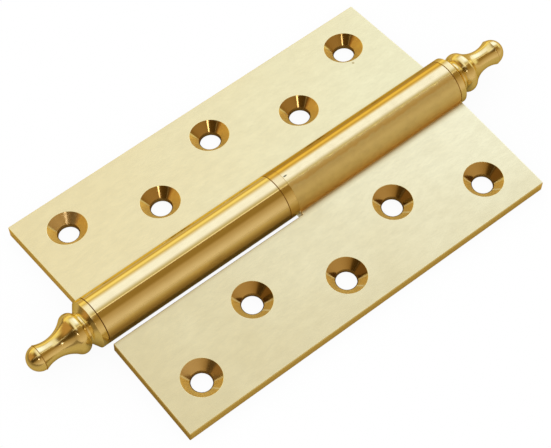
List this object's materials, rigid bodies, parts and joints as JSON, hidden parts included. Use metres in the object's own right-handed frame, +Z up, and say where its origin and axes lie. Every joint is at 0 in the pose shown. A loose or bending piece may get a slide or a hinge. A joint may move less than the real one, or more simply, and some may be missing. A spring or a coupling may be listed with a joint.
{
  "type": "lift-off hinge",
  "caption": "Brass lift-off butt hinge: countersunk leaves with half-length knuckles on a fixed pin, a bearing washer between them and a turned finial at each end.",
  "frame": {"origin": "on the ground under the middle of the barrel, straight below the pin axis", "axes": "+Y along the pin axis towards the upper end of the hung hinge, the way the door leaf lifts off; +X towards the door leaf; +Z up, the countersunk side"},
  "size_m": [0.0806, 0.1616, 0.014],
  "materials": {
    "leaf_brass": "pale satin brass, finely brushed on the flats and polished on the knuckles",
    "finial_brass": "turned and polished brass",
    "washer_brass": "turned brass, satin",
    "pin_steel": "ground steel"
  },
  "bodies": {
    "frame": {"frame_leaf": "leaf_brass", "hinge_pin": "pin_steel", "lower_finial": "finial_brass"},
    "washer": {"bearing_washer": "washer_brass"},
    "door": {"door_leaf": "leaf_brass", "upper_finial": "finial_brass"}
  },
  "joints": [
    {"name": "swing", "type": "hinge", "parent": "frame", "child": "washer", "pos_m": [0, 0, 0.007], "axis": [0, -1, 0], "range_deg": [-118, 188.5]},
    {"name": "lift_off", "type": "slide", "parent": "washer", "child": "door", "axis": [0, 1, 0], "range_m": [0, 0.05]}
  ]
}
